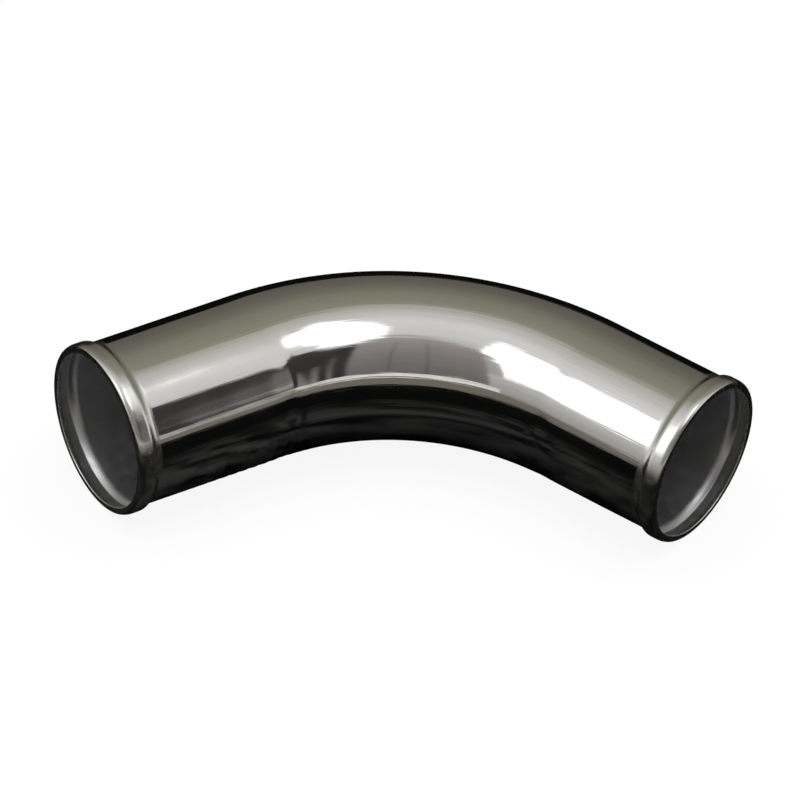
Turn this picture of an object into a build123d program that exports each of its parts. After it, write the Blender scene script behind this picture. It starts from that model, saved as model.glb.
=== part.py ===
from build123d import *
import os
from math import acos, degrees, radians, sin

# Charge air pipe: a round aluminium tube with one bend between two straight legs,
# and a rolled bead at each mouth that keeps a clamped hose from slipping off.
# Millimetres. The bend lies level on its beads, +Z up, with the inside of the bend towards -Y.

# Tube
tube_diameter = 76.0
wall = 2.0
bend_angle = 67.0
bend_radius = 132.0  # to the tube's axis
long_leg = 81.6  # from the bend to the left mouth
short_leg = 67.2  # from the bend to the right mouth

# Bead rolled into the wall at each mouth
bead_rise = 1.8  # crest above the tube
foot_fold = 4.5  # hollow of the fold outside, where the bead leaves the tube
shoulder_fold = 1.1  # hollow of the fold inside, where the bead levels out
crest_length = 3.0  # level stretch of the bead, next to the shoulder
crown_length = 3.4  # from the crest to the mouth
crown_fall = 1.0  # from the crest down to the mouth

# Lip that closes the bead at the mouth and comes back to the bore
lip_thickness = 2.0
nose_chamfer = 0.6  # outer edge of the mouth
lip_chamfer = 0.4  # both edges of the lip's own bore

# Radii and the step from the tube up to the bead, which the two folds share
tube_radius = tube_diameter / 2
bore_radius = tube_radius - wall
crest_radius = tube_radius + bead_rise
groove_radius = bore_radius + bead_rise
both_folds = foot_fold + shoulder_fold + wall
step_angle = degrees(acos(1 - bead_rise / both_folds))
step_length = both_folds * sin(radians(step_angle))


def leg_section(length):
    """Half section of a leg: x is the radius, y runs from the bend at 0 to the mouth at the given length."""
    crest_end = length - crown_length
    shoulder = crest_end - crest_length
    foot = shoulder - step_length
    back_of_lip = length - lip_thickness
    towards_mouth = (0, 1)
    towards_bend = (0, -1)

    # Outside, from the bend to the mouth
    tube_line = Line((tube_radius, 0), (tube_radius, foot))
    foot_outside = JernArc(tube_line @ 1, towards_mouth, foot_fold, -step_angle)
    shoulder_outside = JernArc(foot_outside @ 1, foot_outside % 1, shoulder_fold + wall, step_angle)
    crest = Line(shoulder_outside @ 1, (crest_radius, crest_end))
    nose = (crest_radius - crown_fall, length)
    crown = TangentArc(crest @ 1, nose, tangent=towards_mouth)

    # Across the mouth and round the lip into the groove behind it
    lip_front = (bore_radius, length)
    lip_back = (bore_radius, back_of_lip)
    groove_corner = (groove_radius, back_of_lip)
    lip = Polyline(nose, lip_front, lip_back, groove_corner, (groove_radius, shoulder))

    # Inside, from the groove back to the bend, a wall's thickness under the outside
    shoulder_inside = JernArc(lip @ 1, towards_bend, shoulder_fold, -step_angle)
    foot_inside = JernArc(shoulder_inside @ 1, shoulder_inside % 1, foot_fold + wall, step_angle)
    bore_line = Polyline(foot_inside @ 1, (bore_radius, 0), (tube_radius, 0))

    outside = [tube_line, foot_outside, shoulder_outside, crest, crown]
    inside = [shoulder_inside, foot_inside, *bore_line.edges()]
    section = make_face([*outside, *lip.edges(), *inside])
    for corner, size in ((nose, nose_chamfer), (lip_front, lip_chamfer), (lip_back, lip_chamfer)):
        section = chamfer(section.vertices().sort_by_distance(corner)[0], size)
    return section


def leg(length):
    """Straight leg along +Y with its bead, from the bend's end at the origin."""
    return revolve(leg_section(length), Axis.Y)


def bend():
    """Bent stretch about Z, from +X round to the bend's angle."""
    ring = Circle(tube_radius) - Circle(bore_radius)
    return revolve(Plane.XZ * Pos(bend_radius, 0) * ring, Axis.Z, bend_angle)


def pipe_bend():
    """Both legs on the bend, with the bend's middle towards +Y and the bead's lowest points on Z = 0."""
    right_end = Rot(0, 0, 90 - bend_angle / 2)
    left_end = Rot(0, 0, 90 + bend_angle / 2)
    right_leg = Pos(bend_radius, 0, 0) * mirror(leg(short_leg), about=Plane.XZ)
    left_leg = Pos(bend_radius, 0, 0) * leg(long_leg)
    pipe = right_end * bend() + right_end * right_leg + left_end * left_leg
    box = pipe.bounding_box()
    return Pos(-box.center().X, -box.center().Y, crest_radius) * pipe


os.makedirs("parts", exist_ok=True)
pipe = pipe_bend()
pipe.label = "pipe_bend"
export_step(pipe, "parts/pipe_bend.step")
print("pipe_bend", pipe.bounding_box().size, "volume", round(pipe.volume))
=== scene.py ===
import bpy
from math import acos, asin, cos, exp, pi, radians, sin, sqrt, tau
from mathutils import Matrix, Vector, noise


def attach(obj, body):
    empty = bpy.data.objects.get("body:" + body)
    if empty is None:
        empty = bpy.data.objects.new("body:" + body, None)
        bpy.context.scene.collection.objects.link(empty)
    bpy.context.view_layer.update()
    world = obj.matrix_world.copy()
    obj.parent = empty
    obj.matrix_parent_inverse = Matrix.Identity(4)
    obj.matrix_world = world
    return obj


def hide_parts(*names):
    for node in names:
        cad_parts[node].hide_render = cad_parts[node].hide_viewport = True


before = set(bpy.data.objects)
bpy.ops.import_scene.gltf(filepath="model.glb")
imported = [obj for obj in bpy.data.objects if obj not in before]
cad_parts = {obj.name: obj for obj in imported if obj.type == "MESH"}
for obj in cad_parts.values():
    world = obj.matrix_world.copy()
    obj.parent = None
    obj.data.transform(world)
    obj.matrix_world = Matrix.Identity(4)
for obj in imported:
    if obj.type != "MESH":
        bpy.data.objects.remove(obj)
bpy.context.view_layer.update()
mm = 0.001


def linear(code):
    # sRGB hex to the linear values Blender mixes in
    channels = [int(code[i:i + 2], 16) / 255 for i in (1, 3, 5)]
    values = [c / 12.92 if c <= 0.04045 else ((c + 0.055) / 1.055) ** 2.4 for c in channels]
    return (*values, 1.0)


def addNode(tree, kind, settings=None, **inputs):
    # one node: settings are its own fields, inputs are values or sockets to link from,
    # and i0, i1 and so on pick a socket by its place where several share a name
    node = tree.nodes.new(kind)
    for field, value in (settings or {}).items():
        setattr(node, field, value)
    for name, value in inputs.items():
        byPlace = name[0] == "i" and name[1:].isdigit()
        socket = node.inputs[int(name[1:]) if byPlace else name.replace("_", " ")]
        if isinstance(value, bpy.types.NodeSocket):
            tree.links.new(value, socket)
        else:
            socket.default_value = value
    return node


def newMaterial(name):
    material = bpy.data.materials.new(name)
    material.use_nodes = True
    material.node_tree.nodes.clear()
    return material, material.node_tree


# tube, in millimetres: the solid's sizes, with small rounds where it has chamfers and a sharp groove
pipe = dict(
    tubeRadius=38.0, wall=2.0, bendAngle=67.0, bendRadius=132.0, leftLeg=81.6, rightLeg=67.2,
    beadRise=1.8, footFold=4.5, shoulderFold=1.1, crest=3.0, crown=3.4, crownFall=1.0,
    lip=2.0, noseRound=1.6, lipRound=0.5, grooveFold=0.6)
finish = dict(tube=0, bead=1, lip=2, bore=3)  # places of the materials on the pipe
# mesh steps: round the tube, along each stretch, round a fold and along a short straight
steps = dict(around=224, bend=96, bore=30, leftLeg=80, rightLeg=40, fold=8, straight=3)
# how far the tube's outside strays from true, in millimetres
wear = dict(
    waveSize=45.0, waveHeight=0.1,  # slow waves from bending and buffing
    fineTimes=3.1, fineShare=0.16,  # waves this many times finer, with this share of the height
    ripplePitch=5.2, rippleHeight=0.12,  # ripples under the left leg
    rippleAhead=14.0, rippleSpan=28.0,  # their middle before the bend, and how far they reach
    dentDepth=0.4, dentSpan=5.0,  # line on the inside at each end of the bend
    beadClear=12.0)  # everything fades out over this length next to a bead


def foldPoints(centreT, centreR, radius, start, end):
    # angles from straight outwards, towards the mouth
    angles = [start + (end - start) * i / steps["fold"] for i in range(steps["fold"] + 1)]
    return [(centreT + radius * sin(a), centreR + radius * cos(a)) for a in angles]


def between(t0, r0, t1, r1, count=steps["straight"]):
    return [(t0 + (t1 - t0) * i / count, r0 + (r1 - r0) * i / count) for i in range(1, count)]


def legProfile(length, tubeSteps):
    # (distance from the bend, radius, material), out along the outside, over the lip and back in the bore
    p = pipe
    tubeR, boreR = p["tubeRadius"], p["tubeRadius"] - p["wall"]
    crestR, grooveR = tubeR + p["beadRise"], boreR + p["beadRise"]
    footIn, shoulderOut = p["footFold"] + p["wall"], p["shoulderFold"] + p["wall"]
    folds = p["footFold"] + shoulderOut
    step = acos(1 - p["beadRise"] / folds)
    crestEnd = length - p["crown"]
    shoulder = crestEnd - p["crest"]
    foot = shoulder - folds * sin(step)

    tube = between(0, tubeR, foot, tubeR, tubeSteps)
    bead = foldPoints(foot, tubeR + p["footFold"], p["footFold"], pi, pi - step)
    bead += foldPoints(shoulder, crestR - shoulderOut, shoulderOut, -step, 0)[1:]
    bead += between(shoulder, crestR, crestEnd, crestR)
    crownR = (p["crown"] ** 2 + p["crownFall"] ** 2) / (2 * p["crownFall"])
    nose = p["noseRound"]
    noseAngle = asin((p["crown"] - nose) / (crownR - nose))
    noseR = crestR - crownR + sqrt((crownR - nose) ** 2 - (p["crown"] - nose) ** 2)
    bead += foldPoints(crestEnd, crestR - crownR, crownR, 0, noseAngle)
    bead += foldPoints(length - nose, noseR, nose, noseAngle, pi / 2)[1:]

    edge, lipBack = p["lipRound"], length - p["lip"]
    lip = between(length, noseR, length, boreR + edge)
    lip += foldPoints(length - edge, boreR + edge, edge, pi / 2, pi)
    lip += between(length - edge, boreR, lipBack + edge, boreR)
    lip += foldPoints(lipBack + edge, boreR + edge, edge, pi, 3 * pi / 2)

    fold = p["grooveFold"]
    bore = foldPoints(lipBack - fold, grooveR - fold, fold, pi / 2, 0)
    bore += between(lipBack - fold, grooveR, shoulder, grooveR)
    bore += foldPoints(shoulder, grooveR - p["shoulderFold"], p["shoulderFold"], 0, -step)
    bore += foldPoints(foot, boreR + footIn, footIn, pi - step, pi)[1:]
    bore += between(foot, boreR, 0, boreR)
    stretches = zip(finish.values(), (tube, bead, lip, bore))
    return [(*point, material) for material, stretch in stretches for point in stretch]


def ringsOfPipe():
    # closed walk of rings: (centre, sideways direction, radius, distance along the axis, material)
    p = pipe
    half = radians(p["bendAngle"] / 2)

    def onBend(share, radius, material):
        angle = half * share
        out = Vector((sin(angle), cos(angle), 0))
        return out * p["bendRadius"], out, radius, p["bendRadius"] * angle, material

    def onLeg(sign, t, radius, material):
        out = Vector((sign * sin(half), cos(half), 0))
        along = Vector((sign * cos(half), -sin(half), 0))
        return out * p["bendRadius"] + along * t, out, radius, sign * (p["bendRadius"] * half + t), material

    bend, bore = steps["bend"], steps["bore"]
    boreR = p["tubeRadius"] - p["wall"]
    rings = [onBend(2 * i / bend - 1, p["tubeRadius"], finish["tube"]) for i in range(bend + 1)]
    rings += [onLeg(1, *point) for point in legProfile(p["rightLeg"], steps["rightLeg"])]
    rings += [onBend(1 - 2 * i / bore, boreR, finish["bore"]) for i in range(bore + 1)]
    rings += [onLeg(-1, *point) for point in reversed(legProfile(p["leftLeg"], steps["leftLeg"]))]
    return rings


def strayAt(along, angle):
    # angle from the top of the tube, towards the outside of the bend
    w = wear
    radius = pipe["tubeRadius"]
    place = Vector((sin(angle) * radius, cos(angle) * radius, along)) / w["waveSize"]
    waves = noise.noise(place) + noise.noise(place * w["fineTimes"]) * w["fineShare"]
    bendEnd = radians(pipe["bendAngle"] / 2) * pipe["bendRadius"]
    inwards, down = max(0.0, -sin(angle)), max(0.0, -cos(angle))
    lowerInside = 2 * inwards * down  # 1 halfway from the underside to the inside of the bend
    rippleZone = exp(-((along + bendEnd + w["rippleAhead"]) / w["rippleSpan"]) ** 2) * lowerInside
    ripples = sin(tau * along / w["ripplePitch"]) * rippleZone
    dents = sum(exp(-((along - end) / w["dentSpan"]) ** 2) for end in (-bendEnd, bendEnd)) * inwards ** 2
    return waves * w["waveHeight"] + ripples * w["rippleHeight"] - dents * w["dentDepth"]


def buildPipe():
    rings, count = ringsOfPipe(), steps["around"]
    tubeAlong = [along for *_, along, material in rings if material == finish["tube"]]
    first, last = min(tubeAlong), max(tubeAlong)
    vertices, walk = [], []
    for centre, side, radius, along, material in rings:
        clear = min(along - first, last - along) / wear["beadClear"]
        fade = min(1.0, max(0.0, clear)) if material == finish["tube"] else 0.0
        for k in range(count):
            angle = tau * k / count
            out = side * sin(angle) + Vector((0, 0, 1)) * cos(angle)
            stray = strayAt(along, angle) * fade if fade else 0.0
            vertices.append(centre + out * (radius + stray))
            walk.append((along, radius * angle))

    faces, faceMaterials, walkLoops = [], [], []
    for i, (*_, radius, along, material) in enumerate(rings):
        j = (i + 1) % len(rings)
        nextMaterial = rings[j][-1]
        for k in range(count):
            m = (k + 1) % count
            corners = (i * count + k, j * count + k, j * count + m, i * count + m)
            faces.append(corners)
            faceMaterials.append(max(material, nextMaterial))
            wrap = tau * radius if m == 0 else 0.0  # the walk round goes on past its start
            walkLoops += [walk[corners[0]], walk[corners[1]]]
            walkLoops += [(walk[c][0], walk[c][1] + wrap) for c in corners[2:]]

    # the box's middle sits over the origin, as the solid's does
    low = Vector([min(v[axis] for v in vertices) for axis in range(3)])
    high = Vector([max(v[axis] for v in vertices) for axis in range(3)])
    shift = Vector((-(low.x + high.x) / 2, -(low.y + high.y) / 2, -low.z))
    mesh = bpy.data.meshes.new("pipeBend")
    mesh.from_pydata([(v + shift) * mm for v in vertices], [], faces)
    mesh.polygons.foreach_set("material_index", faceMaterials)
    mesh.polygons.foreach_set("use_smooth", [True] * len(faces))
    layer = mesh.uv_layers.new(name="tubeWalk")  # metres along and round the tube
    layer.data.foreach_set("uv", [c * mm for pair in walkLoops for c in pair])
    mesh.validate()
    mesh.update()
    piece = bpy.data.objects.new("pipeBend", mesh)
    bpy.context.scene.collection.objects.link(piece)
    return piece


pipeBend = buildPipe()
print("pipe:", len(pipeBend.data.polygons), "faces")


noiseSpan = dict(From_Min=0.3, From_Max=0.7)  # where nearly all of a noise texture's values lie
toolDepth = 0.2  # millimetres, of the finest tool marks at full strength


def perMetre(along, around):
    # texture scale that makes a noise feature this long along and round the tube, in millimetres
    return 1 / (along * mm), 1 / (around * mm), 1.0


# buffed aluminium: a mirror, with the buffing as fine streaks along the tube through what it mirrors.
# Pattern sizes are in millimetres. The streaks here and the tool lines below are drawn coarser than real
# ones, which are too fine to see at this size
buffed = dict(
    colour="#f0efed", rough=(0.05, 0.1), smear=18.0,
    streak=(40.0, 0.6), streakRelief=0.08,
    band=(110.0, 3.8), bandRelief=0.2, bandDepth=0.4)
polished, tree = newMaterial("mirrorPolishedAluminium")
walkMap = addNode(tree, "ShaderNodeUVMap", dict(uv_map="tubeWalk"))
streakPlace = addNode(tree, "ShaderNodeMapping", Vector=walkMap.outputs[0],
                      Scale=perMetre(*buffed["streak"]))
streaks = addNode(tree, "ShaderNodeTexNoise", Vector=streakPlace.outputs[0], Scale=1.0, Detail=4.0)
bandPlace = addNode(tree, "ShaderNodeMapping", Vector=walkMap.outputs[0],
                    Scale=perMetre(*buffed["band"]))
bands = addNode(tree, "ShaderNodeTexNoise", Vector=bandPlace.outputs[0], Scale=1.0, Detail=3.0)
smears = addNode(tree, "ShaderNodeTexNoise", Vector=walkMap.outputs[0], Scale=1 / (buffed["smear"] * mm),
                 Detail=3.0)
roughness = addNode(tree, "ShaderNodeMapRange", Value=smears.outputs[0], To_Min=buffed["rough"][0],
                    To_Max=buffed["rough"][1], **noiseSpan)
bandRelief = addNode(tree, "ShaderNodeBump", Height=bands.outputs[0], Strength=buffed["bandRelief"],
                     Distance=buffed["bandDepth"] * mm)
relief = addNode(tree, "ShaderNodeBump", Height=streaks.outputs[0], Strength=buffed["streakRelief"],
                 Distance=toolDepth * mm, Normal=bandRelief.outputs[0])
shader = addNode(tree, "ShaderNodeBsdfPrincipled", Base_Color=linear(buffed["colour"]), Metallic=1.0,
                 Roughness=roughness.outputs[0], Normal=relief.outputs[0])
addNode(tree, "ShaderNodeOutputMaterial", Surface=shader.outputs[0])


def satinAluminium(name, colour, rough, line, patch, relief):
    # metal that was never buffed: fine tool lines, in patches of more and less sheen
    material, tree = newMaterial(name)
    walkMap = addNode(tree, "ShaderNodeUVMap", dict(uv_map="tubeWalk"))
    linePlace = addNode(tree, "ShaderNodeMapping", Vector=walkMap.outputs[0], Scale=perMetre(*line))
    lines = addNode(tree, "ShaderNodeTexNoise", Vector=linePlace.outputs[0], Scale=1.0, Detail=4.0)
    patches = addNode(tree, "ShaderNodeTexNoise", Vector=walkMap.outputs[0], Scale=1 / (patch * mm),
                      Detail=4.0)
    roughness = addNode(tree, "ShaderNodeMapRange", Value=patches.outputs[0], To_Min=rough[0],
                        To_Max=rough[1], **noiseSpan)
    bump = addNode(tree, "ShaderNodeBump", Height=lines.outputs[0], Strength=relief,
                   Distance=toolDepth * mm)
    shader = addNode(tree, "ShaderNodeBsdfPrincipled", Base_Color=linear(colour), Metallic=1.0,
                     Roughness=roughness.outputs[0], Normal=bump.outputs[0])
    addNode(tree, "ShaderNodeOutputMaterial", Surface=shader.outputs[0])
    return material


# rolled bead: dulled by the roller, so it gathers the room into one soft sheen
bead = dict(colour="#efeeeb", rough=(0.16, 0.3), line=(0.4, 11.0), patch=6.0, relief=0.12)
rolled = satinAluminium("rolledAluminiumBead", **bead)
# cut lip: turned square, a thin ring between the sheen of the bead and the dark of the bore
lip = dict(colour="#e6e5e2", rough=(0.22, 0.32), line=(0.25, 4.0), patch=3.0, relief=0.15)
turned = satinAluminium("turnedAluminiumLip", **lip)
# drawn bore: a grey satin that brightens in a ring where the groove turns back
bore = dict(colour="#dcddde", rough=(0.34, 0.46), line=(0.65, 8.0), patch=5.0, relief=0.12)
drawn = satinAluminium("drawnAluminiumBore", **bore)

for material in (polished, rolled, turned, drawn):
    pipeBend.data.materials.append(material)
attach(pipeBend, "root")
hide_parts("pipe_bend")
print("pipe: materials set")


def plane(name, corners, material):
    mesh = bpy.data.meshes.new(name)
    mesh.from_pydata(corners, [], [tuple(range(len(corners)))])
    mesh.materials.append(material)
    thing = bpy.data.objects.new(name, mesh)
    bpy.context.scene.collection.objects.link(thing)
    return thing


def square(half, z):
    return [(-half, -half, z), (half, -half, z), (half, half, z), (-half, half, z)]


# white paper for the camera alone: mostly its own white, with a little lamplight for a faint shadow
sweep = dict(colour="#fafafa", glow="#ffffff", shaded=0.09, half=30.0)  # half its side, in metres
paleFloor, tree = newMaterial("whitePaperSweep")
paper = addNode(tree, "ShaderNodeBsdfDiffuse", Color=linear(sweep["colour"]))
glow = addNode(tree, "ShaderNodeEmission", Color=linear(sweep["glow"]), Strength=1.0)
blend = addNode(tree, "ShaderNodeMixShader", Fac=sweep["shaded"], i1=glow.outputs[0], i2=paper.outputs[0])
addNode(tree, "ShaderNodeOutputMaterial", Surface=blend.outputs[0])
floor = plane("floor", square(sweep["half"], 0), paleFloor)
floor.visible_glossy = False
floor.visible_diffuse = False

# black laminate just under the paper, which the metal mirrors, with a painted sheen: a paler spot in patches
# before the pipe, a pool of light painted into its colour
laminate = dict(
    dark="#0b0b0b", paintedSheen="#3c3c3c", half=40.0, drop=0.001,  # half its side and how far it is under, in metres
    patch=26.0, patchEdge=(0.38, 0.62),  # millimetres across, and the noise values that its soft edge spans
    middle=(-0.04, -0.05), spread=(0.2, 0.083))  # where the painted sheen lies, in metres
darkTable, tree = newMaterial("blackTableTop")
ground = addNode(tree, "ShaderNodeTexCoord")
sheenPlace = addNode(tree, "ShaderNodeMapping", dict(vector_type="TEXTURE"), Vector=ground.outputs["Object"],
                    Location=(*laminate["middle"], 0.0), Scale=(*laminate["spread"], 1.0))
paintedSheenSpot = addNode(tree, "ShaderNodeTexGradient", dict(gradient_type="SPHERICAL"),
                   Vector=sheenPlace.outputs[0])
mottle = addNode(tree, "ShaderNodeTexNoise", Vector=ground.outputs["Object"],
                 Scale=1 / (laminate["patch"] * mm), Detail=2.0)
patches = addNode(tree, "ShaderNodeMapRange", Value=mottle.outputs[0], From_Min=laminate["patchEdge"][0],
                  From_Max=laminate["patchEdge"][1])
# painted sheen: the paler spot and its patches are light painted into the laminate's colour, not wear
paintedSheenPatches = addNode(tree, "ShaderNodeMath", dict(operation="MULTIPLY"), i0=paintedSheenSpot.outputs[1],
                      i1=patches.outputs[0])
tint = addNode(tree, "ShaderNodeValToRGB", Fac=paintedSheenPatches.outputs[0])
for element, shade in zip(tint.color_ramp.elements, ("dark", "paintedSheen")):
    element.color = linear(laminate[shade])
surface = addNode(tree, "ShaderNodeBsdfDiffuse", Color=tint.outputs[0])
addNode(tree, "ShaderNodeOutputMaterial", Surface=surface.outputs[0])
table = plane("table", square(laminate["half"], -laminate["drop"]), darkTable)
table.visible_camera = False
print("set: floor and table")

# cards that the metal mirrors, on a ceiling and a front wall. Outlines are in shares of their distance.
# low and high are the tones of a card's front and back edge on the ceiling, or of its foot and top on the
# wall, and forward is how many metres it stands before the wall
reach = 8.0  # metres to the ceiling and the wall
cards = dict(
    leftSoftbox=dict(wall="ceiling", low="#ffffff", high="#ffffff", strength=1.5, outline=[
        (-0.28, -0.15), (-0.62, -0.08), (-2.4, -0.5), (-1.75, -0.98), (-1.18, -1.18), (-1.22, -1.35),
        (-1.45, -1.78), (-1.3, -1.75), (-1.0, -1.2), (-0.62, -0.75), (-0.33, -0.52)]),
    rightSoftbox=dict(wall="ceiling", low="#ffffff", high="#ffffff", strength=1.5, outline=[
        (0.16, -0.04), (0.25, 0.18), (0.36, 0.14), (0.5, 0.02), (0.56, -0.1), (0.56, -0.42),
        (0.44, -0.5), (0.2, -0.42), (0.13, -0.2)]),
    frontWall=dict(wall="front", low="#6a6766", high="#a29c9a", outline=[
        (-0.62, 0.3), (0.68, 0.3), (0.72, 1.8), (0.4, 2.35), (-0.1, 2.25), (-0.62, 1.9)]),
    darkCorner=dict(wall="front", low="#2d2c2b", high="#3b3a38", outline=[
        (0.68, 0.3), (3.2, 0.3), (3.2, 2.0), (2.1, 3.0), (1.2, 2.0), (0.72, 1.8)]),
    lowLeft=dict(wall="front", low="#8c8c8a", high="#c8c8c6", outline=[
        (-2.6, 0.05), (-0.62, 0.3), (-0.62, 0.75), (-1.0, 0.85), (-1.8, 1.0), (-2.6, 1.1)]),
    farWall=dict(wall="front", low="#6d6c69", high="#646360", forward=0.02, outline=[
        (1.615, 0.3), (3.2, 0.3), (3.2, 1.9), (2.26, 1.9), (1.77, 1.06), (1.635, 0.61)]),
    farStrip=dict(wall="front", low="#9a9a97", high="#9a9a97", forward=0.04, outline=[
        (1.635, 0.54), (3.2, 0.54), (3.2, 0.66), (1.655, 0.66)]),
    leftSlat=dict(wall="front", low="#727270", high="#4e4e4c", forward=0.02, outline=[
        (0.86, 0.3), (0.93, 0.3), (0.97, 1.25), (0.88, 1.2)]),
    middleSlat=dict(wall="front", low="#858583", high="#585856", forward=0.02, outline=[
        (1.08, 0.3), (1.2, 0.3), (1.26, 0.95), (1.12, 1.0)]),
    leftJoint=dict(wall="front", low="#4c4847", high="#6f6a68", forward=0.02, outline=[
        (-0.06, 0.3), (-0.045, 0.3), (-0.045, 1.9), (-0.06, 1.9)]),
    rightJoint=dict(wall="front", low="#4c4847", high="#6f6a68", forward=0.02, outline=[
        (0.26, 0.3), (0.275, 0.3), (0.275, 1.85), (0.26, 1.85)]),
    ledge=dict(wall="front", low="#e6e3e0", high="#e6e3e0", outline=[
        (-0.75, 0.22), (1.5, 0.22), (1.5, 0.3), (-0.75, 0.3)]),
    lowBand=dict(wall="front", low="#6f6b63", high="#6f6b63", outline=[
        (-6, -0.02), (6, -0.02), (6, 0.22), (-6, 0.22)]))


def placeCard(name, wall, low, high, outline, strength=1.0, forward=0.0):
    # cloth lit from behind: one plain tone, or a soft run from one tone to another
    material, tree = newMaterial(name + "Cloth")
    place = addNode(tree, "ShaderNodeTexCoord")
    split = addNode(tree, "ShaderNodeSeparateXYZ", Vector=place.outputs["Generated"])
    fade = addNode(tree, "ShaderNodeValToRGB", Fac=split.outputs["Y" if wall == "ceiling" else "Z"])
    for element, colour in zip(fade.color_ramp.elements, (low, high)):
        element.color = linear(colour)
    cloth = addNode(tree, "ShaderNodeEmission", Color=fade.outputs[0], Strength=strength)
    addNode(tree, "ShaderNodeOutputMaterial", Surface=cloth.outputs[0])
    away = reach - forward
    if wall == "ceiling":
        corners = [(u * away, v * away, away) for u, v in outline]
    else:
        corners = [(u * away, -away, v * away) for u, v in outline]
    card = plane(name, corners, material)
    card.visible_camera = False
    card.visible_shadow = False


for name, card in cards.items():
    placeCard(name, **card)
print("set:", len(cards), "cards")

# one soft lamp for the paper, kept out of the metal; in metres and watts
lamp = dict(place=(0.25, 0.3, 2.2), size=3.0, power=52.0)
lampData = bpy.data.lights.new("overhead", "AREA")
lampData.size = lamp["size"]
lampData.energy = lamp["power"]
overhead = bpy.data.objects.new("overhead", lampData)
overhead.location = lamp["place"]
overhead.rotation_euler = (-Vector(lamp["place"])).to_track_quat("-Z", "Y").to_euler()
overhead.visible_glossy = False
overhead.visible_camera = False
bpy.context.scene.collection.objects.link(overhead)

# room behind the cards, from the front (0) over the ceiling (0.5) to the back (1): pale, then olive
room = [(0.0, "#8c8a88"), (0.24, "#a9a7a5"), (0.34, "#cccccb"), (0.5, "#d8d8d7"), (0.6, "#c2c2bf"),
        (0.68, "#b0afa8"), (0.725, "#8c8a7b"), (0.86, "#807e70"), (1.0, "#5c5a52")]
world = bpy.data.worlds.new("room")
world.use_nodes = True
bpy.context.scene.world = world
tree = world.node_tree
tree.nodes.clear()
direction = addNode(tree, "ShaderNodeTexCoord")
split = addNode(tree, "ShaderNodeSeparateXYZ", Vector=direction.outputs["Generated"])
toBack = addNode(tree, "ShaderNodeMapRange", Value=split.outputs["Y"], From_Min=-1.0, From_Max=1.0)
tones = addNode(tree, "ShaderNodeValToRGB", Fac=toBack.outputs[0])
for place, _ in room[1:-1]:
    tones.color_ramp.elements.new(place)
for element, (place, colour) in zip(tones.color_ramp.elements, room):
    element.position = place
    element.color = linear(colour)
air = addNode(tree, "ShaderNodeBackground", Color=tones.outputs[0], Strength=1.0)
addNode(tree, "ShaderNodeOutputWorld", Surface=air.outputs[0])
print("set: lamp and room")

# camera: a long lens well back, looking down on the pipe
view = dict(
    lens=382.94, sensor=36.0, target=(-1.52, 0.13, 39.4),  # millimetres
    distance=3.8, farthest=200.0,  # metres
    elevation=40.366, azimuth=-0.42, roll=4.378)  # degrees
elevation, azimuth, roll = (radians(view[name]) for name in ("elevation", "azimuth", "roll"))
back = Vector((sin(azimuth) * cos(elevation), -cos(azimuth) * cos(elevation), sin(elevation)))
level = (-back).cross(Vector((0, 0, 1))).normalized()
upright = level.cross(-back)
cameraX = level * cos(roll) + upright * sin(roll)
cameraY = upright * cos(roll) - level * sin(roll)
lens = bpy.data.cameras.new("camera")
lens.lens = view["lens"]
lens.sensor_width = view["sensor"]
lens.clip_end = view["farthest"]
camera = bpy.data.objects.new("camera", lens)
facing = Matrix((cameraX, cameraY, back)).transposed().to_4x4()
camera.matrix_world = Matrix.Translation(Vector(view["target"]) * mm + back * view["distance"]) @ facing
bpy.context.scene.collection.objects.link(camera)
bpy.context.scene.camera = camera
bpy.context.scene.view_settings.view_transform = "Standard"
print("camera set")
